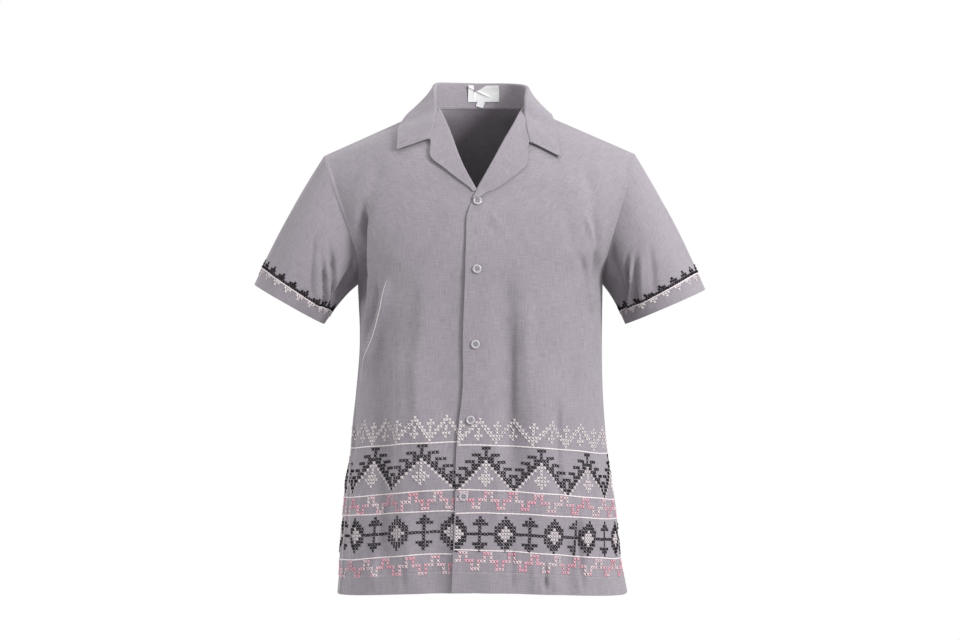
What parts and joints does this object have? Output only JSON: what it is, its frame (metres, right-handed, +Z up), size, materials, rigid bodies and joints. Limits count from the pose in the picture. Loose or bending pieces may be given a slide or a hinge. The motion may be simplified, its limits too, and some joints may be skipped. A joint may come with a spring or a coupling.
{
  "type": "button-up shirt",
  "caption": "Short-sleeved button-up shirt with a camp collar, a buttoned front and embroidered borders, filled out as worn and open at neck, hem and cuffs.",
  "frame": {"origin": "middle of the neck, level with the two points where the shoulder seams meet the neckline, where the wearer's shoulders carry the shirt", "axes": "+Z up, -Y out of the buttoned front, +X towards the wearer's left"},
  "size_m": [0.6735, 0.2611, 0.7682],
  "materials": {
    "chambray": "matt plain-woven grey chambray",
    "label_tape": "white woven satin tape",
    "button_shell": "light grey shell-like resin"
  },
  "bodies": {
    "root": {"front_left": "chambray", "front_right": "chambray", "back": "chambray", "sleeve_left": "chambray", "sleeve_right": "chambray", "collar": "chambray", "lapel_left": "chambray", "lapel_right": "chambray", "neck_label": "label_tape", "size_tab": "label_tape", "button_1": "button_shell", "button_2": "button_shell", "button_3": "button_shell", "button_4": "button_shell", "button_5": "button_shell"}
  },
  "joints": []
}
